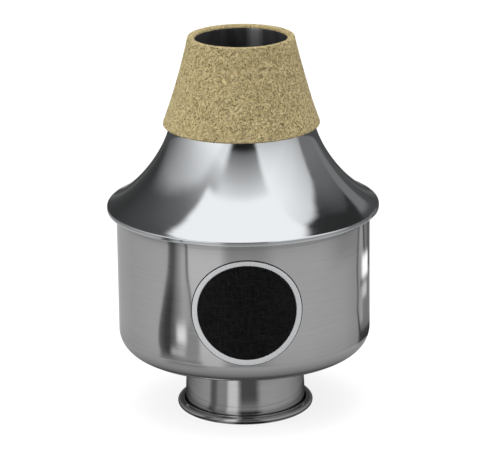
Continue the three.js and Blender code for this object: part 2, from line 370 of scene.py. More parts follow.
def dull_shaded_aluminium(tree):
    """The inside of the shells, never polished: faint rings, a dark tone with streaks along the axis that
    is partly stains and partly painted shade, and a painted highlight streak at the back of the neck."""
    rings = turning_noise(tree, POLISH_PITCH, POLISH_REACH)
    stains = turning_noise(tree, STAIN_LENGTH, STAIN_WIDTH)
    bump = add(tree, "Bump", {"Height": rings, "Strength": 0.15, "Distance": RING_DEPTH * MM})
    # painted shade: the inner metal gets a dark tone, partly stains along the axis and partly the shade
    # inside the neck
    stained_and_shaded = add(tree, "Mix", {0: stains, 6: linear("#2A2A2C"), 7: linear("#77777B")},
                  data_type="RGBA")
    # painted highlight: a soft band a few millimetres beside the axis lightens the colour towards near
    # white
    place = add(tree, "TexCoord").outputs["Object"]
    aside = add(tree, "SeparateXYZ", {0: place}).outputs["X"]
    aside = add(tree, "Math", {0: aside, 1: PAINTED_STREAK_ASIDE * MM}, operation="SUBTRACT")
    aside = add(tree, "Math", {0: aside}, operation="ABSOLUTE")
    painted_streak = add(tree, "MapRange", {"Value": aside, "From Min": PAINTED_STREAK_EDGES[0] * MM,
                                    "From Max": PAINTED_STREAK_EDGES[1] * MM, "To Max": PAINTED_STREAK_SHARE})
    tone = add(tree, "Mix", {0: painted_streak, 6: stained_and_shaded, 7: linear("#EAEAEC")}, data_type="RGBA")
    return add(tree, "BsdfPrincipled", {"Base Color": tone, "Metallic": 0.6, "Roughness": 0.38,
                                        "Normal": bump})


polished = new_finish("polished_aluminium", polished_aluminium)
satin = new_finish("satin_aluminium", satin_aluminium)
dull_shaded = new_finish("dull_aluminium_with_painted_shade", dull_shaded_aluminium)
print("metals:", polished.name, satin.name, dull_shaded.name)

# %% [markdown]
# ## Upper shell
# The neck, the flare and the hem are one piece of metal: a disc spun down to a trumpet-like
# flare, whose edge is folded round the flange of the lower shell. The flare falls steeply below
# the cork and lies almost flat at the lip, which is what makes its mirror show the ceiling in
# front and the walls at the sides. One Bezier curve has that shape.

# %% Upper shell
CORK_TOP_RADIUS = 20.45
CORK_THICKNESS = (1.8, 2.1)
CORK_TAPER_SHARE = 0.73
NECK_RECESS = 1.4
NECK_HANDLE_SHARES = (0.06, 0.31)
LIP_SLOPE = 25
LIP_HANDLE = 13.0
LIP_BEND = 0.45
HEM_RETURN = 1.6
THINNED_ABOVE_LIP = (1, 6)
FLARE_SWAY = 0.02
SHELL_COLUMNS = 256

collar_foot, collar_top, cork_foot_radius = collar_low[2], collar_high[2], collar_high[0]


def cork_radius(height):
    """Outside radius of the cork: from the top it grows in a straight line with the depth, plus
    a gentle flare with the square of the depth."""
    share = (collar_top - height) / (collar_top - collar_foot)
    rise = CORK_TAPER_SHARE * share + (1 - CORK_TAPER_SHARE) * share**2
    return CORK_TOP_RADIUS + (cork_foot_radius - CORK_TOP_RADIUS) * rise


def cork_thickness(height):
    """The cork is a little thinner at the top than at the foot."""
    return np.interp(height, [collar_foot, collar_top], CORK_THICKNESS[::-1])


def upper_shell_line():
    """Neck, flare, and the hem: over the lip, down its face and back under the flange. The flare
    is one Bezier curve that reaches the lip at a set slope."""
    heights = np.linspace(collar_top - NECK_RECESS, collar_foot, 25)
    depth = cork_thickness(heights) + FIT_GAP + SHELL_WALL / 2
    neck = np.stack([cork_radius(heights) - depth, heights], axis=1)
    turn = lip_radius - SEAM_WALL / 2 - LIP_BEND
    half = (HEM_THICKNESS - SEAM_WALL) / 2 - LIP_BEND
    over = arc((turn, lip_middle + half), LIP_BEND, 90 - LIP_SLOPE, 0, 14)
    under = arc((turn, lip_middle - half), LIP_BEND, 0, -90, 14)
    slope = np.array([math.cos(math.radians(LIP_SLOPE)), -math.sin(math.radians(LIP_SLOPE))])
    handle = neck[-1] + (over[0] - neck[-1]) * np.array(NECK_HANDLE_SHARES)
    flare = bezier(neck[-1], handle, over[0] - LIP_HANDLE * slope, over[0], 116)
    return joined(neck, flare, over, line(over[-1], under[0], 3), under,
                  line(under[-1], under[-1] - (HEM_RETURN, 0), 4))


middle_line = upper_shell_line()
thinned = lip_middle + np.array(THINNED_ABOVE_LIP)
thinning = np.interp(middle_line[:, 1], thinned, [SEAM_WALL, SHELL_WALL])
outline = sheet(middle_line, thinning)
upper = turned("polished_upper_shell", outline, SHELL_COLUMNS, [polished, dull_shaded],
               spin_sway(outline, SHELL_COLUMNS, FLARE_SWAY))
second_finish(upper, SHELL_COLUMNS, far_side_rows(middle_line[:, 1] > thinned[0]))
stands_for(upper, "upper_shell", "body")

# %% [markdown]
# ## Lower shell
# A flange that lies inside the hem, a straight drum, a rounded corner and a flat floor with the
# hole for the stem, all from one disc. Its outside is satin, and its inside was left as spun.

# %% Lower shell
DRUM_RADIUS = 48.9
CORNER_RADIUS = 8.4
FLANGE_BEND = 1.2
THINNED_FLANGE = (2, 5)
DRUM_SWAY = 0.03
STEM_RADIUS = 9.5
GRIP_THICKNESS = 2.2
GUIDE_WALL = 0.7
GUIDE_BEND = 0.9

guide_radius = STEM_RADIUS + FIT_GAP + GRIP_THICKNESS + FIT_GAP + GUIDE_WALL / 2
hole_radius = guide_radius + GUIDE_WALL / 2 + FIT_GAP


def lower_shell_line():
    """Flange, its bend into the drum, the drum, the rounded corner and the floor to its hole."""
    side = DRUM_RADIUS - SHELL_WALL / 2
    bend = arc((side + FLANGE_BEND, lip_middle - FLANGE_BEND), FLANGE_BEND, 90, 180, 12)
    corner_bend = CORNER_RADIUS - SHELL_WALL / 2
    base = floor_height + SHELL_WALL / 2
    corner = arc((side - corner_bend, base + corner_bend), corner_bend, 0, -90, 36)
    flange = line((lip_radius - 1.5 * SEAM_WALL - FIT_GAP, lip_middle), bend[0], 4)
    return joined(flange, bend, line(bend[-1], corner[0], 60), corner,
                  line(corner[-1], (hole_radius, base), 40))


middle_line = lower_shell_line()
distance = lengths_along(middle_line)
outline = sheet(middle_line, np.interp(distance, THINNED_FLANGE, [SEAM_WALL, SHELL_WALL]))
lower = turned("satin_lower_shell", outline, SHELL_COLUMNS, [satin, dull_shaded],
               spin_sway(outline, SHELL_COLUMNS, DRUM_SWAY))
second_finish(lower, SHELL_COLUMNS, far_side_rows(distance > 0))
stands_for(lower, "lower_shell", "body")

# %% [markdown]
# ## Stem
# The tube slides in the floor, and its lower end is rolled out over the socket of the cup. The
# cup's rim is curled outwards into a bead, which stiffens it and feels smooth under the hand.

# %% Stem tube and cup
STEM_COLUMNS = 192
STEM_WALL = 0.7
STEM_FLANGE = 1.6
SOCKET_DEPTH = 4.6
SOCKET_BEND = 1.0
CUP_WALL = 0.8
CUP_RADIUS = 22.9
CUP_SHOULDER = 5.0
BEAD_WIDTH = 3.76
BEAD_SQUASH = 0.84
BEAD_WALL = 0.6
BEAD_ANGLES = (180, 463)
CUP_SWAY = 0.015

_, cup_high = box_mm("stem_cup")
_, tube_high = box_mm("stem_tube")
cup_height, bead_radius, tube_top = cup_high[2], cup_high[0], tube_high[2]
socket_end = cup_height - SOCKET_DEPTH


def stem_tube_line():
    """Straight down from the top of the tube, then rolled out over the end of the socket."""
    middle = STEM_RADIUS - STEM_WALL / 2
    bend = STEM_WALL / 2 + FIT_GAP
    roll = arc((middle + bend, socket_end), bend, 180, 270, 12)
    return joined(line((middle, tube_top), (middle, socket_end), 40), roll,
                  line(roll[-1], (STEM_RADIUS + STEM_FLANGE, roll[-1][1]), 4))


def stem_cup_line():
    """Socket, base, shoulder and side, then a little over three quarters of an oval for the bead."""
    base = cup_height - CUP_WALL / 2
    socket = STEM_RADIUS + FIT_GAP + CUP_WALL / 2
    turn = arc((socket + SOCKET_BEND, base - SOCKET_BEND), SOCKET_BEND, 180, 90, 8)
    bend = CUP_SHOULDER - CUP_WALL / 2
    shoulder = arc((CUP_RADIUS - CUP_SHOULDER, cup_height - CUP_SHOULDER), bend, 90, 0, 20)
    curl = (BEAD_WIDTH - BEAD_WALL) / 2
    bead = arc((bead_radius - BEAD_WIDTH / 2, curl), curl, *BEAD_ANGLES, 68)
    bead = bead * (1, BEAD_SQUASH) + (0, BEAD_WALL / 2)
    drop = shoulder[-1] - bead[0]
    side = bezier(shoulder[-1], shoulder[-1] - (0, drop[1] / 3), bead[0] + (0, drop[1] / 3), bead[0], 24)
    return joined(line((socket, socket_end), turn[0], 4), turn, line(turn[-1], shoulder[0], 10),
                  shoulder, side, bead)


outline = sheet(stem_tube_line(), STEM_WALL)
tube = turned("satin_stem_tube", outline, STEM_COLUMNS, [satin])
stands_for(tube, "stem_tube", "stem")

middle_line = stem_cup_line()
walls = np.interp(middle_line[:, 1], [BEAD_WIDTH, 2 * BEAD_WIDTH], [BEAD_WALL, CUP_WALL])
outline = sheet(middle_line, walls)
cup = turned("satin_stem_cup", outline, STEM_COLUMNS, [satin],
             spin_sway(outline, STEM_COLUMNS, CUP_SWAY))
stands_for(cup, "stem_cup", "stem")

# %% [markdown]
# ## Guide in the floor
# The stem slides through an eyelet of spun aluminium. Its flange lies under the floor, its barrel
# is swollen just above the floor to lock it, and its turned-in top keeps the cork grip in place.
# It shows only when the stem is drawn out.

# %% Stem guide
CLINCH_DEPTH = 1.1
CLINCH_RISE = 0.35

guide_low, guide_high = box_mm("stem_guide")


def guide_line():
    """Flange, bend, barrel with one rounded swelling, and the top turned in over the grip."""
    flange = guide_low[2] + GUIDE_WALL / 2
    lower_bend = arc((guide_radius + GUIDE_BEND, flange + GUIDE_BEND), GUIDE_BEND, 270, 180, 10)
    swelling_foot = floor_height + SHELL_WALL + FIT_GAP + CLINCH_RISE
    share = np.linspace(0, 1, 17)
    bulge = CLINCH_DEPTH * np.sin(np.pi * share) ** 2
    swelling = np.stack([guide_radius + bulge, swelling_foot + 2 * GUIDE_WALL * share], axis=1)
    lip = guide_high[2] - GUIDE_WALL / 2
    upper_bend = arc((guide_radius - GUIDE_BEND, lip - GUIDE_BEND), GUIDE_BEND, 0, 90, 10)
    return joined(line((guide_high[0], flange), lower_bend[0], 6), lower_bend, swelling,
                  line(swelling[-1], upper_bend[0], 8), upper_bend,
                  line(upper_bend[-1], (STEM_RADIUS + 2 * FIT_GAP, lip), 3))


guide = turned("satin_stem_guide", sheet(guide_line(), GUIDE_WALL), STEM_COLUMNS, [satin])
stands_for(guide, "stem_guide", "body")

# %% [markdown]
# ## Composition cork
# The collar is composition cork: granules of bark about a millimetre across, pressed with a
# binder and then turned to a taper. The eye sees tan granules of slightly different tones, dark
# gaps and pits between them, and pale flecks. The colour comes from cell patterns in Object
# space, and the mesh itself has a like grain, so that the silhouette isn't too smooth.

# %% Cork finish
BEND_SHARE = 0.0009
PART_SCALE = 2.1
GAP_SCALE = 1.1
BREAK_SCALE = 0.6
PIT_SCALE = 1.5
BUMP_DEPTH = 0.25


def composition_cork(tree, granule, dark, middle, pale):
    """Pressed cork granules of one size in millimetres. Each granule and each part of it has its
    own tone; broken dark lines run between them where the middle value of a noise passes, and
    the peaks of another noise are pits. A bump lets the dark places lie deeper."""
    place = add(tree, "TexCoord").outputs["Object"]
    per_metre = 1 / (granule * MM)
    warp = add(tree, "TexNoise", {"Vector": place, "Scale": per_metre, "Detail": 3.0})
    bent = add(tree, "Mix", {0: BEND_SHARE, 4: place, 5: warp.outputs["Color"]}, data_type="VECTOR")
    cells = [add(tree, "TexVoronoi", {"Vector": bent, "Scale": scale * per_metre})
             for scale in (1, PART_SCALE)]
    tones = [add(tree, "SeparateColor", {0: cell.outputs["Color"]}) for cell in cells]
    both = add(tree, "Math", dict(enumerate(tones)), operation="ADD")
    lines, breaks, holes = (
        add(tree, "TexNoise", {"Vector": vector, "Scale": scale * per_metre, "Detail": detail})
        for vector, scale, detail in ((bent, GAP_SCALE, 2.0), (place, BREAK_SCALE, 3.0),
                                      (place, PIT_SCALE, 1.0)))
    off = add(tree, "Math", {0: lines, 1: 0.5}, operation="SUBTRACT")
    off = add(tree, "Math", {0: off}, operation="ABSOLUTE")
    paleness, gaps, unbroken, pits, rise = (
        add(tree, "MapRange", {"Value": value, "From Min": low, "From Max": high, "To Max": most})
        for value, low, high, most in ((both, 0.2, 1.8, 1.0), (off, 0.05, 0.005, 0.95),
                                       (breaks, 0.40, 0.58, 1.0), (holes, 0.62, 0.66, 1.0),
                                       (both, 0.0, 2.0, 0.6)))
    gaps = add(tree, "Math", {0: gaps, 1: unbroken}, operation="MULTIPLY")
    deep = add(tree, "Math", {0: gaps, 1: pits}, operation="MAXIMUM")
    granules = add(tree, "Mix", {0: paleness, 6: linear(middle), 7: linear(pale)},
                   data_type="RGBA")
    colour = add(tree, "Mix", {0: deep, 6: granules, 7: linear(dark)}, data_type="RGBA")
    relief = add(tree, "Math", {0: rise, 1: deep}, operation="SUBTRACT")
    bump = add(tree, "Bump", {"Height": relief, "Strength": 0.6, "Distance": BUMP_DEPTH * MM})
    return add(tree, "BsdfPrincipled", {"Base Color": colour, "Roughness": 0.9, "Normal": bump})


collar_cork = new_finish("composition_cork", composition_cork, 0.64, "#30260E", "#9D8B59", "#DCCB9C")
grip_cork = new_finish("dark_composition_cork", composition_cork, 0.7, "#3E2E1A", "#86693F", "#AE9060")
print("corks:", collar_cork.name, grip_cork.name)

# %% Cork collar
FOOT_EDGE = 0.7
TOP_EDGE = 0.5
MOUTH_EDGE = 1.1
TOP_OVERHANG = 0.9
SIDE_WEAR = 0.42
WEAR_SHARES = (0.4, 0.8)
CORK_COLUMNS = 400
GRANULE = 1.05  # coarser than the finish's 0.64, so that the mesh can carry it
GRAIN_DEPTH = 0.07
GRAIN_SEED = 11
SEAM_WIDTH = 0.25
PIT_DEPTH = 0.22
PIT_SHARE = 0.07
PIT_FADE = (0.2, 0.7)


def grain(across, along, columns, rows, seed):
    """Relief of pressed granules, from -1 to 1. A seeded point lies at random in every cell of a
    grid that closes round; each place looks at the nine cells about it. The relief is the nearest
    granule's own random height, less a seam where the second nearest is about as near, and a few
    granules are missing and leave a pit."""
    random = np.random.default_rng(seed)
    points = random.random((rows + 2, columns, 2))
    own = random.random((rows + 2, columns))
    column, row = np.floor(across).astype(int), np.floor(along).astype(int)
    nearest, second = np.full(across.shape, 9.0), np.full(across.shape, 9.0)
    height = np.zeros(across.shape)
    for down in (-1, 0, 1):
        for over in (-1, 0, 1):
            cell = np.clip(row + down + 1, 0, rows + 1), (column + over) % columns
            x = column + over + points[cell][..., 0] - across
            y = row + down + points[cell][..., 1] - along
            distance = np.hypot(x, y)
            closer = distance < nearest
            second = np.where(closer, nearest, np.minimum(second, distance))
            height = np.where(closer, own[cell], height)
            nearest = np.where(closer, distance, nearest)
    seam = np.clip((second - nearest) / SEAM_WIDTH, 0, 1)
    pit = (height < PIT_SHARE) * np.interp(nearest, PIT_FADE, (1, 0))
    return (height - 0.5) * seam - (1 - seam), pit


def cork_collar_outline():
    """Lip over the end of the neck, inside of the taper, foot, outer side and top."""
    mouth = cork_radius(collar_top) - cork_thickness(collar_top) - TOP_OVERHANG
    under = collar_top - NECK_RECESS + FIT_GAP
    lip = np.array([(mouth, collar_top - MOUTH_EDGE), (mouth, under)])
    heights = np.linspace(under, collar_foot, 9)
    inside = np.stack([cork_radius(heights) - cork_thickness(heights), heights], axis=1)
    foot = arc((cork_foot_radius - FOOT_EDGE, collar_foot + FOOT_EDGE), FOOT_EDGE, -90, 0, 8)
    top = arc((CORK_TOP_RADIUS - TOP_EDGE, collar_top - TOP_EDGE), TOP_EDGE, 0, 90, 6)
    rim = arc((mouth + MOUTH_EDGE, collar_top - MOUTH_EDGE), MOUTH_EDGE, 90, 180, 8)
    heights = np.linspace(foot[-1][1], top[0][1], 118)
    side = np.stack([cork_radius(heights), heights], axis=1)
    ends = [foot[-1][0] - side[0][0], top[0][0] - side[-1][0]]
    side[:, 0] += np.interp(heights, heights[[0, -1]], ends)
    around = joined(lip, inside, line(inside[-1], foot[0], 3), foot, side, top,
                    line(top[-1], rim[0], 3), rim[:-1])
    return around, len(lip) + len(inside)


outline, inside_count = cork_collar_outline()
turns = np.linspace(0, 1, CORK_COLUMNS, endpoint=False)
around_count = int(2 * np.pi * (CORK_TOP_RADIUS + cork_foot_radius) / 2 / GRANULE)
outer_lengths = lengths_along(outline) / GRANULE
across, along = np.meshgrid(turns * around_count, outer_lengths)
relief, pits = grain(across, along, around_count, int(outer_lengths[-1]) + 1, GRAIN_SEED)
outer = (np.arange(len(outline)) >= inside_count)[:, None]
depth_share = (collar_top - outline[:, 1:]) / (collar_top - collar_foot)
right_side = (1 + np.sin(2 * np.pi * turns)) / 2
worn = SIDE_WEAR * np.interp(depth_share, WEAR_SHARES, (0, 1)) * right_side
swell = np.where(outer, GRAIN_DEPTH * relief - PIT_DEPTH * pits - worn, 0)
collar = turned("granular_cork_collar", outline, CORK_COLUMNS, [collar_cork], swell)
stands_for(collar, "cork_collar", "body")

# %% Grip ring
grip_low, grip_high = box_mm("grip_ring")


def grip_outline():
    """A ring as tall as the guide's barrel, with its outer corners rubbed round."""
    inner, outer_side = STEM_RADIUS + FIT_GAP, grip_high[0]
    bottom, top = grip_low[2], grip_high[2]
    low = arc((outer_side - GUIDE_BEND, bottom + GUIDE_BEND), GUIDE_BEND, -90, 0, 8)
    high = arc((outer_side - GUIDE_BEND, top - GUIDE_BEND), GUIDE_BEND, 0, 90, 8)
    return joined(line((inner, top), (inner, bottom), 8), low, high)


grip = turned("cork_grip_ring", grip_outline(), STEM_COLUMNS, [grip_cork])
stands_for(grip, "grip_ring", "grip")

# %% [markdown]
# ## Badge
# An oval of etched metal, bent to the drum and glued on a dark film, which is made wider than the plate
# so that its dark edge shows as a painted shadow line round it. Its border stands proud of a field filled
# with black enamel. It is laid out flat, as it was cut, in millimetres round the drum and up it, and then
# wrapped: the distance round becomes an angle.

# %% Badge finishes
MOTTLE_SIZE = 0.5
DUST_SIZE = 0.8
ETCH_DEPTH = 0.05
WEAVE_PITCH = 0.45
WEAVE_LENGTH = 2.4
WEAVE_DEPTH = 0.08


def etched_metal(tree):
    """Etched and tumbled nickel silver: pale, matt and slightly mottled."""
    place = add(tree, "TexCoord").outputs["Object"]
    mottle = add(tree, "TexNoise", {"Vector": place, "Scale": 1 / (MOTTLE_SIZE * MM), "Detail": 4.0})
    tone = add(tree, "Mix", {0: mottle, 6: linear("#C8CACC"), 7: linear("#E6E8EA")},
               data_type="RGBA")
    bump = add(tree, "Bump", {"Height": mottle, "Strength": 0.2, "Distance": ETCH_DEPTH * MM})
    return add(tree, "BsdfPrincipled", {"Base Color": tone, "Metallic": 0.1, "Roughness": 0.5,
                                        "Normal": bump})


def black_enamel(tree):
    """Air-dried black enamel in the etched field, with a faint weave: two noises drawn out along
    the badge's width and its height, of which the stronger one shows at each place."""
    flat = add(tree, "SeparateXYZ", {0: add(tree, "TexCoord").outputs["UV"]}).outputs
    threads = []
    for sizes in ({"X": WEAVE_LENGTH, "Y": WEAVE_PITCH}, {"X": WEAVE_PITCH, "Y": WEAVE_LENGTH}):
        scaled = {axis: add(tree, "Math", {0: flat[axis], 1: 1 / (size * MM)}, operation="MULTIPLY")
                  for axis, size in sizes.items()}
        place = add(tree, "CombineXYZ", {**scaled, "Z": sizes["X"]})
        threads.append(add(tree, "TexNoise", {"Vector": place, "Scale": 1.0, "Detail": 3.0}))
    weave = add(tree, "Math", dict(enumerate(threads)), operation="MAXIMUM")
    shine = add(tree, "MapRange", {"Value": weave, "From Min": 0.45, "From Max": 0.75})
    tone = add(tree, "Mix", {0: shine, 6: linear("#010101"), 7: linear("#1B1B1C")}, data_type="RGBA")
    bump = add(tree, "Bump", {"Height": weave, "Strength": 0.5, "Distance": WEAVE_DEPTH * MM})
    return add(tree, "BsdfPrincipled", {"Base Color": tone, "Roughness": 0.48,
                                        "Specular IOR Level": 0.15, "Normal": bump})


def dark_film_shadow_line(tree):
    """The dark film under the plate, made wider than the plate so that its dark edge is a painted shadow
    line round the plate.
    """
    place = add(tree, "TexCoord").outputs["Object"]
    dust = add(tree, "TexNoise", {"Vector": place, "Scale": 1 / (DUST_SIZE * MM)})
    tone = add(tree, "Mix", {0: dust, 6: linear("#141416"), 7: linear("#2B2B2D")}, data_type="RGBA")
    return add(tree, "BsdfPrincipled", {"Base Color": tone, "Roughness": 0.7})


film_finish = new_finish("dark_film_painted_shadow_line", dark_film_shadow_line)
plate_finish = new_finish("etched_nickel_silver", etched_metal)
field_finish = new_finish("black_enamel", black_enamel)
print("badge:", film_finish.name, plate_finish.name, field_finish.name)


# %% Badge layers
BADGE_WIDTH = 41.7
BADGE_HEIGHT = 40.7
BADGE_RISE = 29.45
BADGE_ASIDE = -0.2
FIELD_WIDTH = 37.6
FIELD_HEIGHT = 37.0
FIELD_LIFT = 0.25
FIELD_SINK = 0.05
FIELD_EDGE = 0.03
# the film reaches this far past the plate so that its dark edge shows as a painted shadow line
FILM_SHADOW_MARGIN = (0.55, 0.3)
FILM_THICKNESS = 0.15
PLATE_THICKNESS = 0.45
FIELD_DEPTH = 0.25
LAYER_GAP = 0.12
BADGE_COLUMNS = 256
BADGE_EDGE = 0.16


def wrapped(name, rows, finish):
    """A closed disc on the drum. Each row is an oval with its half width, half height, rise above
    the drum and lift up the drum; the first and last rows are drawn in to a pole. A point s round
    the drum and h up it goes to x = r sin(s / R), y = -r cos(s / R), z = the badge's middle + h,
    with r = R + rise."""
    angle = np.linspace(0, 2 * np.pi, BADGE_COLUMNS, endpoint=False)[None, :]
    rows = np.array(rows)
    around = np.concatenate([(rows[:, :1] * np.cos(angle)).ravel(), [0, 0]]) + BADGE_ASIDE
    up = np.concatenate([(rows[:, 1:2] * np.sin(angle) + rows[:, 3:]).ravel(), rows[[0, -1], 3]])
    radius = DRUM_RADIUS + np.concatenate([np.repeat(rows[:, 2], BADGE_COLUMNS), rows[[0, -1], 2]])
    points = np.stack([radius * np.sin(around / DRUM_RADIUS), -radius * np.cos(around / DRUM_RADIUS),
                       floor_height + BADGE_RISE + up], axis=1)
    quads = grid_faces(len(rows), BADGE_COLUMNS, rows_close=False)
    ring, pole = np.arange(BADGE_COLUMNS), len(points) - 2
    beside = (ring + 1) % BADGE_COLUMNS
    last = (len(rows) - 1) * BADGE_COLUMNS
    fans = np.concatenate([np.stack([ring, beside, 0 * ring + pole], axis=1),
                           np.stack([last + beside, last + ring, 0 * ring + pole + 1], axis=1)])
    flat = np.stack([around, up], axis=1) * MM
    return new_piece(name, points, [quads, fans], [flat[quads], flat[fans]], [finish])


def disc_rows(half_width, half_height, shares, rise, lift=0.0):
    """Ovals drawn in towards the middle at one rise."""
    return [(half_width * share, half_height * share, rise, lift) for share in shares]


def edge_rows(half_width, half_height, centre_rise, start, end, lift=0.0):
    """Ovals that go round an edge of the plate: a small arc in section."""
    section = arc((0, centre_rise), BADGE_EDGE, start, end, 6)
    return [(half_width + x, half_height + x, z, lift) for x, z in section]


SHARES_OUT = (0.02, 0.25, 0.5, 0.75, 0.92)
half_width, half_height = BADGE_WIDTH / 2, BADGE_HEIGHT / 2
field_width, field_height = FIELD_WIDTH / 2, FIELD_HEIGHT / 2
film_low = LAYER_GAP
film_high = film_low + FILM_THICKNESS
plate_low = film_high + LAYER_GAP
plate_high = plate_low + PLATE_THICKNESS
sunk = plate_high - FIELD_DEPTH


def film_rows():
    """A flat oval a little wider than the plate: its back, its edge and its front."""
    wide, tall = half_width + FILM_SHADOW_MARGIN[0], half_height + FILM_SHADOW_MARGIN[1]
    return (disc_rows(wide, tall, SHARES_OUT, film_low)
            + [(wide, tall, film_low, 0), (wide, tall, film_high, 0)]
            + disc_rows(wide, tall, SHARES_OUT[::-1], film_high))


def plate_rows():
    """Back, outer edge, border with both its edges rounded, and the sunk floor of the field."""
    outer = edge_rows(half_width - BADGE_EDGE, half_height - BADGE_EDGE, plate_high - BADGE_EDGE, 0, 90)
    inner = edge_rows(field_width + BADGE_EDGE, field_height + BADGE_EDGE, plate_high - BADGE_EDGE,
                      90, 180, FIELD_LIFT)
    return (disc_rows(half_width, half_height, SHARES_OUT, plate_low)
            + [(half_width, half_height, plate_low, 0)] + outer + inner
            + [(field_width, field_height, sunk, FIELD_LIFT)]
            + disc_rows(field_width, field_height, SHARES_OUT[::-1], sunk, FIELD_LIFT))


def field_rows():
    """The enamel: a thin disc whose top sinks a little towards its middle as it dried."""
    wide, tall = field_width - LAYER_GAP, field_height - LAYER_GAP
    low, high = sunk + LAYER_GAP, plate_high
    shares = np.linspace(0.98, 0.02, 24)
    top = [(wide * s, tall * s, high - FIELD_SINK * (1 - s**4), FIELD_LIFT) for s in shares]
    return (disc_rows(wide, tall, SHARES_OUT, low, FIELD_LIFT)
            + [(wide, tall, low, FIELD_LIFT), (wide, tall, high - FIELD_EDGE, FIELD_LIFT)] + top)


for name, node, rows, finish, slot in (
    # the film's dark edge round the plate is a painted shadow line
    ("badge_backing_film", "badge_film", film_rows(), film_finish, "adhesive_film"),
    ("etched_badge_plate", "badge_plate", plate_rows(), plate_finish, "badge_metal"),
    ("enamel_badge_field", "badge_field", field_rows(), field_finish, "badge_enamel"),
):
    stands_for(wrapped(name, rows, finish), node, "body")

# %% [markdown]
# ## Studio
# A mirror shows the room, so polished metal is lit by building the room: white walls and a large
# light overhead, with dark gaps between them that give the metal its contrast. The gaps are on a
# dome that only reflections see. The camera sees a white background and a pale floor, which keeps
# the object's shadow.

# %% World, floor and lamps
AMBIENT = 0.72
FLOOR_REACH = 6.0
FLOOR_LIFT = 0.74
LAMP_AIM = 0.08


def background_share(tree):
    """1 for rays from the camera, or by way of metal or glass, and 0 for the light on things."""
    path = add(tree, "LightPath").outputs
    share = path["Is Camera Ray"]
    for rays in ("Is Glossy Ray", "Is Transmission Ray"):
        share = add(tree, "Math", {0: share, 1: path[rays]}, operation="ADD", use_clamp=True)
    return share


def white_world():
    """Plain white where it is looked at, and a softer even light on the object."""
    world = bpy.data.worlds.new("studio_white")
    world.use_nodes = True
    tree = world.node_tree
    tree.nodes.clear()
    strength = add(tree, "MapRange", {"Value": background_share(tree), "To Min": AMBIENT, "To Max": 1.0})
    light = add(tree, "Background", {"Color": linear("#FFFFFF"), "Strength": strength})
    add(tree, "OutputWorld", {"Surface": light})
    bpy.context.scene.world = world


def pale_paper(tree):
    """Pale paper. Where it is looked at it is lifted to white, so that only the shadow is left
    to see; from below it is clear."""
    paper = add(tree, "BsdfDiffuse", {"Color": linear("#A2A2A2")})
    lift = add(tree, "Math", {0: background_share(tree), 1: FLOOR_LIFT}, operation="MULTIPLY")
    glow = add(tree, "Emission", {"Strength": lift})
    both = add(tree, "AddShader", {0: paper, 1: glow})
    below = add(tree, "NewGeometry").outputs["Backfacing"]
    return add(tree, "MixShader", {0: below, 1: both, 2: add(tree, "BsdfTransparent")})


def pale_floor():
    """A square sheet of the paper under the mute."""
    mesh = bpy.data.meshes.new("studio_floor")
    corners = np.array([(-1, -1, 0), (1, -1, 0), (1, 1, 0), (-1, 1, 0)]) * FLOOR_REACH
    mesh.from_pydata(corners.tolist(), [], [(0, 1, 2, 3)])
    mesh.materials.append(new_finish("pale_paper", pale_paper))
    linked("studio_floor", mesh)


def soft_lamp(name, place, size, power):
    """A square lamp that points at the mute. Metal doesn't show it, because the dome does that."""
    data = bpy.data.lights.new(name, "AREA")
    data.shape, data.size, data.energy = "SQUARE", size, power
    lamp = linked(name, data)
    lamp.location = place
    aim = Vector((0, 0, LAMP_AIM)) - Vector(place)
    lamp.rotation_euler = aim.to_track_quat("-Z", "Y").to_euler()
    lamp.visible_glossy = False


white_world()
pale_floor()
soft_lamp("overhead_softbox", (0.0, -0.1, 1.3), 1.0, 7.0)
soft_lamp("left_softbox", (-1.25, -0.35, 0.6), 0.8, 7.5)
soft_lamp("right_softbox", (1.25, -0.35, 0.6), 0.8, 4.0)
print("world, floor and three lamps are in place")

# %% [markdown]
# ## Camera
# The picture was taken from about a metre with a long lens, so that the rims are shallow ovals.
# The camera is placed by angles round the mute, aimed a little beside its middle, and rolled by
# the slight tilt that the mute has in the picture.

# %% Camera and view settings
CAMERA_DISTANCE = 1.0977
CAMERA_AZIMUTH = -1.45
CAMERA_ELEVATION = 17.147
CAMERA_ROLL = -0.664
CAMERA_LENS = 204.3
TARGET_HEIGHT = 72.9
AIM_RIGHT = 2.6
AIM_UP = 0.15


def place_camera():
    """Stands off from the target by azimuth and elevation, looks at a point beside it, and rolls
    about its own axis."""
    a, e = math.radians(CAMERA_AZIMUTH), math.radians(CAMERA_ELEVATION)
    back = Vector((math.sin(a) * math.cos(e), -math.cos(a) * math.cos(e), math.sin(e)))
    right = Vector((math.cos(a), math.sin(a), 0))
    up = back.cross(right)
    target = Vector((0, 0, TARGET_HEIGHT * MM))
    aim = target + right * AIM_RIGHT * MM + up * AIM_UP * MM
    data = bpy.data.cameras.new("product_camera")
    data.lens, data.clip_start, data.clip_end = CAMERA_LENS, 0.05, 20
    camera = linked("product_camera", data)
    camera.location = target + back * CAMERA_DISTANCE
    turn = (aim - camera.location).to_track_quat("-Z", "Y").to_matrix()
    roll = Matrix.Rotation(math.radians(CAMERA_ROLL), 3, "Z")
    camera.rotation_euler = (turn @ roll).to_euler()
    bpy.context.scene.camera = camera
    return camera


camera = place_camera()
bpy.context.scene.view_settings.view_transform = "Standard"
print("camera at", [round(v, 3) for v in camera.location])

# %% [markdown]
# ## What the metal sees
# The mirror of the flare shows the studio like a map. In front, where the camera stands, the room
# is dark low down and grey higher up. White walls stand at the left and right, and a square
# softbox hangs overhead with its own sharp edges. The dome holds these as shares of white, worked
# out from the direction of each of its points, and the drum's grey comes from a grey table.

# %% Patches of brightness, and the room
FAR = 200


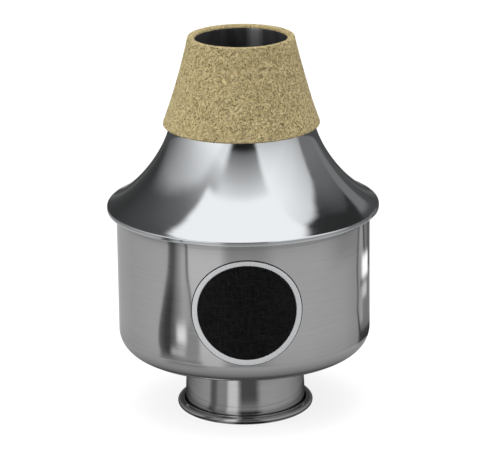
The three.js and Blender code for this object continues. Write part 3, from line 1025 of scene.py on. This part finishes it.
def window(value, low, high, soft_low, soft_high=None):
    """1 between two limits and 0 outside, with an edge of the given softness centred on each
    limit: the smoothstep 3 t^2 - 2 t^3 going up, times another going down."""
    soft_high = soft_low if soft_high is None else soft_high
    up = np.clip((value - low) / soft_low + 0.5, 0, 1)
    down = np.clip((high - value) / soft_high + 0.5, 0, 1)
    return up * up * (3 - 2 * up) * down * down * (3 - 2 * down)


def painted(glow, patches):
    """Covers a brightness with one patch after another. Each patch is its own brightness and the
    windows that it fills, whose product is the share that it covers."""
    for level, *windows in patches:
        share = math.prod(window(*limits) for limits in windows)
        glow = glow * (1 - share) + level * share
    return glow


def studio_brightness(azimuth, elevation):
    """Brightness of the room in each direction, in degrees: azimuth 0 is towards the camera and
    90 to its right. It is laid out on a map of the ceiling, where across is the lean from the
    zenith to the right and ahead is the lean towards the camera."""
    lean = 90 - elevation
    across = lean * np.sin(np.radians(azimuth))
    ahead = lean * np.cos(np.radians(azimuth))
    room = np.interp(across, [-40, 26, 50, 62, 86], [0.05, 0.06, 0.09, 0.13, 0.15])
    shelf = np.interp(across, [34, 50, 60, 72], [-67, -70, -68, -63])
    behind = np.interp(across, [42, 56, 70, 88], [0.05, 0.13, 0.17, 0.165])
    card = np.interp(ahead, [-50, -38, -15], [48, 41, 40])
    dim = np.interp(ahead, [-60, -30, -10, 0, 10, 26, 40, 50],
                    [0.04, 0.075, 0.12, 0.155, 0.23, 0.41, 0.60, 0.80])
    left = np.interp(ahead, [-70, -60, -50, 0, 30, 50, 66],
                     [0.11, 0.135, 0.175, 0.47, 0.71, 0.86, 0.95])
    left_end = np.interp(ahead, [-30, -10, 0, 20, 26], [-56, -53, -51, -44.5, -44])
    right = np.interp(across, [26, 40, 56, 72, 88], [0.96, 0.86, 0.73, 0.60, 0.46])
    right = right * np.interp(ahead, [-8, 0, 6, 16, 36, 72], [0.80, 0.88, 0.92, 1.0, 1.0, 0.68])
    right_rear = np.interp(across, [38, 46, 58, 70, 88], [-11.5, -9, -12, -9.5, -5])
    rise = np.interp(ahead, [30, 42, 54, 64, 68, 72, 76],
                     [0.74, 0.465, 0.28, 0.172, 0.11, 0.04, 0.012])
    gap_edge = np.interp(ahead, [50, 76], [23.5, 26])
    box_left = np.interp(ahead, [-28, -20, 0, 20], [-21, -25.3, -31.5, -35])
    box_right = np.interp(ahead, [-28, -13], [17, 26])
    box_front = np.interp(across, [-34, -26, -14, 0, 12, 26], [24.5, 25.5, 27.5, 28.5, 28.5, 27])
    return painted(room, (
        # the dim room behind, with a grey shelf and a thin grey stand on the right
        (0.13, (ahead, -FAR, -84, 12)),
        (0.18, (across, 34, 76, 6), (ahead, shelf, -30, 3)),
        (0.15, (across, 24, 28, 2), (ahead, -66, -56, 3)),
        # the right side behind the softbox, and the black card beside it
        (behind, (ahead, -51, -5, 4), (across, 38, FAR, 6)),
        (0.026, (across, 14, card, 5), (ahead, -51, -5, 4)),
        # a dim band that narrows towards the camera, and the left wall beside it
        (dim, (across, -FAR, 0, 4), (ahead, -72, FAR, 14)),
        (left, (across, -FAR, left_end, 14), (ahead, -78, FAR, 14)),
        # the right wall, with a crooked rear edge
        (right, (across, 8, FAR, 8), (ahead, right_rear, FAR, 8)),
        # the gap in front, where the camera stands
        (rise, (across, -25.5, gap_edge, 12, 8), (ahead, 24, FAR, 8)),
        # the softbox overhead
        (0.965, (across, box_left, box_right, 5), (ahead, -29, box_front, 3, 8)),
    ))


print("the zenith shows", round(float(studio_brightness(0.0, 90.0)), 3), "of white")

# %% The cards round the cup, and the table
FOOT_RADIUS = 0.042
FRONT_GAP = (-9, 17, 8, 12)


def foot_brightness(azimuth, height):
    """Brightness of the cards that stand round the cup: grey, darker towards the back and the
    top, with a dark line, a bright card and a dark gap in front."""
    grey = np.interp(np.abs(azimuth), [38, 66, 90, 108, 119], [0.37, 0.32, 0.23, 0.15, 0.10])
    grey = grey * np.interp(height, [0.009, 0.013], [1, 0.5])
    gap = np.interp(height, [0, 0.005], [0.22, 0.08])
    return painted(grey, (
        (0.27, (azimuth, -47, -27, 5)),
        (0.11, (azimuth, -54, -43, 8)),
        (0.70, (azimuth, -26, -12, 7)),
        (gap, (azimuth, *FRONT_GAP)),
    ))


def table_brightness(azimuth, radius):
    """Brightness of the plain table, by the direction from the axis and the distance in metres:
    dark under the drum, and inside the ring of cards about as bright as they are."""
    away = np.abs(azimuth)
    near = np.interp(radius, [0.040, 0.046, 0.052, 0.066, 0.090], [0.05, 0.14, 0.21, 0.30, 0.38])
    inside = foot_brightness(azimuth, 0) * np.interp(away, [50, 75, 90, 112], [1, 0.95, 0.86, 0.55])
    inside = inside * np.interp(radius, [0.030, 0.038], [0.30, 1])
    return painted(near, (
        (0.26, (azimuth, -62, -30, 12), (radius, 0.08, 0.16, 0.04)),
        (0.26, (azimuth, 104, 130, 12), (radius, 0.08, 0.16, 0.04)),
        (np.interp(away, [80, 110], [0.40, 0.07]), (radius, 0.35, 9, 0.1)),
        (painted(inside, [(0.02, (azimuth, *FRONT_GAP), (radius, 0, 0.036, 0.004))]),
         (radius, 0, FOOT_RADIUS, 0.001)),
    ))


print("the table in front shows", round(float(table_brightness(0.0, 0.1)), 3), "of white")

# %% The things that the drum shows
def drum_card_brightness(turn, height):
    """Brightness of the things that the drum shows, by the turn in degrees from the camera and
    the height in millimetres at which it shows them."""
    paper = np.interp(turn, [-86, -76, -60, -40, 30, 50, 62], [0.56, 0.42, 0.40, 0.46, 0.45, 0.41, 0.33])
    left = np.interp(height, [33, 38, 44, 50, 58, 66, 74], [-40, -41.8, -41.6, -40.2, -38, -36, -35.2])
    right = np.interp(height, [38, 50, 58, 66], [-21.5, -23.5, -24.4, -25.8])
    glass = np.interp((turn - left) / (right - left), [0, 0.1, 0.2, 0.32, 0.42, 0.52, 0.64, 0.75],
                      [0.18, 0.10, 0.055, 0.055, 0.13, 0.22, 0.32, 0.42])
    glass = glass + 0.05 * window(height, 60, FAR, 10)
    inside = np.interp(turn, [64, 67, 69, 76, 88], [0.35, 0.42, 0.24, 0.20, 0.30])
    rim = np.interp(height, [33, 38, 46, 52, 62, 71, 77], [66, 64, 62, 62.8, 62, 62.8, 63.6])
    rim_level = np.interp(height, [38, 46], [0.06, 0.14])
    neck = np.interp(height, [66, 78], [70.8, 69])
    glow = painted(paper, (
        # a bright and a dark sheet in front of the grey paper, and shade on the right
        (0.61, (turn, -30, -8, 4, 7)),
        (0.33, (turn, -8, 11, 7, 10)),
        (0.28, (turn, 44, 90, 18), (height, 69, FAR, 10)),
        # a bottle on the left: dark down one side, with a highlight on its shoulder
        (glass, (turn, left, right, 1.6, 1.2), (height, 30, FAR, 2)),
        (0.19, (turn - right, -0.6, 0.6, 0.8), (height, 48, FAR, 12)),
        (0.30, (turn, -27, -20, 3), (height, 35, 48, 5)),
        (1.0, (turn, -31.2, -26.6, 3), (height, 40.5, 47.5, 4)),
        (0.66, (turn, -34.5, -27.5, 3), (height, 35, 37.4, 2.2)),
        (0.25, (turn, -41, -19, 4), (height, 29, 34, 2.5)),
        # another one on the right, seen askew
        (inside, (turn, 63, FAR, 2)),
        (0.19, (turn, 63, 90, 2), (height, 20, 39, 4)),
        (0.05, (turn, 64, 90, 3), (height, 20, 35.5, 2.5)),
        (rim_level, (turn - rim, -0.8, 0.8, 1.4)),
        (0.06, (turn - neck, -0.8, 0.8, 1.2), (height, 66.5, FAR, 2)),
        (0.11, (turn, 75.5, 81, 3), (height, 59, 79, 2)),
        (1.3, (turn, 67.4, 76.6, 3.5), (height, 57, 65.6, 3.5)),
        (0.14, (turn, 65, 69, 2), (height, 54, 57, 2)),
        (0.66, (turn, 67.5, 74.5, 3), (height, 49, 54.5, 3)),
    ))
    # darker near the mute, and in the shade of the lip
    glow = glow * np.interp(height, [29, 40], [0.85, 1])
    return glow * (1 - 0.32 * window(height, 78.4, FAR, 3))


print("the drum's middle shows", round(float(drum_card_brightness(0.0, 60.0)), 3), "of white")

# %% Screens that only reflections see
DOME_RADIUS = 3.0
DOME_CENTRE = 0.08
TABLE_RADII = (0.026, 3.1)
FOOT_HEIGHT = 0.0215
CARD_BACKS = 0.08
CARD_HEIGHTS = (26, 130)


def own_glow(tree):
    """Light of the strength that is kept on the mesh's points."""
    level = add(tree, "Attribute", attribute_name="glow").outputs["Fac"]
    return add(tree, "Emission", {"Strength": level})


screen_finish = new_finish("glowing_screen", own_glow)
screen_finish.cycles.emission_sampling = "NONE"


def reflector(name, points, glow):
    """A surface that only reflections see, with its brightness kept on its points."""
    mesh = bpy.data.meshes.new(name)
    faces = grid_faces(*glow.shape, rows_close=False)
    mesh.from_pydata(points.reshape(-1, 3).tolist(), [], faces.tolist())
    attribute = mesh.attributes.new("glow", "FLOAT", "POINT")
    attribute.data.foreach_set("value", glow.astype(np.float32).ravel())
    mesh.materials.append(screen_finish)
    screen = linked(name, mesh)
    for rays in ("camera", "diffuse", "transmission", "volume_scatter", "shadow"):
        setattr(screen, f"visible_{rays}", False)
    print(f"{name}: {len(points.reshape(-1, 3))} points, brightness up to {glow.max():.2f}")


def level_ring(azimuth, radius, height):
    """Points round the axis, with azimuth 0 towards the camera: x = r sin(azimuth),
    y = -r cos(azimuth) and z is the height."""
    a = np.radians(azimuth)
    return np.stack(np.broadcast_arrays(radius * np.sin(a), -radius * np.cos(a), height), axis=-1)


azimuths = np.linspace(-180, 180, 720, endpoint=False)
azimuth, elevation = np.meshgrid(azimuths, np.linspace(-1.8, 89.8, 184))
lift = np.radians(elevation)
dome = DOME_RADIUS * level_ring(azimuth, np.cos(lift), np.sin(lift)) + (0, 0, DOME_CENTRE)
reflector("studio_dome", dome, studio_brightness(azimuth, elevation))
azimuth, radius = np.meshgrid(azimuths, np.geomspace(*TABLE_RADII, 120))
reflector("studio_table", level_ring(azimuth, radius, 0.1 * MM), table_brightness(azimuth, radius))
azimuth, height = np.meshgrid(azimuths, np.linspace(0.2 * MM, FOOT_HEIGHT, 16))
reflector("cards_round_the_cup", level_ring(azimuth, FOOT_RADIUS, height),
          foot_brightness(azimuth, height))
reflector("backs_of_the_cards", level_ring(azimuth, FOOT_RADIUS + 1 * MM, height),
          np.full(azimuth.shape, CARD_BACKS))


def as_the_drum_shows_it(turn, height):
    """Where the camera's line of sight meets the table, after the drum mirrored it at a turn in
    radians and a height in metres: r = d - 2 (d . n) n, followed down to the table."""
    outwards = np.stack([np.sin(turn), -np.cos(turn), 0 * turn], axis=-1)
    point = outwards * DRUM_RADIUS * MM
    point[..., 2] = height
    sight = point - np.array(camera.location)
    sight /= np.linalg.norm(sight, axis=-1, keepdims=True)
    sight -= 2 * np.sum(sight * outwards, axis=-1, keepdims=True) * outwards
    point += sight * (-point[..., 2:] / sight[..., 2:])
    point[..., 2] = 0.2 * MM
    return point


turn, height = np.meshgrid(np.linspace(-88, 88, 705), np.geomspace(*CARD_HEIGHTS, 160))
reflector("things_on_the_table", as_the_drum_shows_it(np.radians(turn + CAMERA_AZIMUTH), height * MM),
          drum_card_brightness(turn, height))
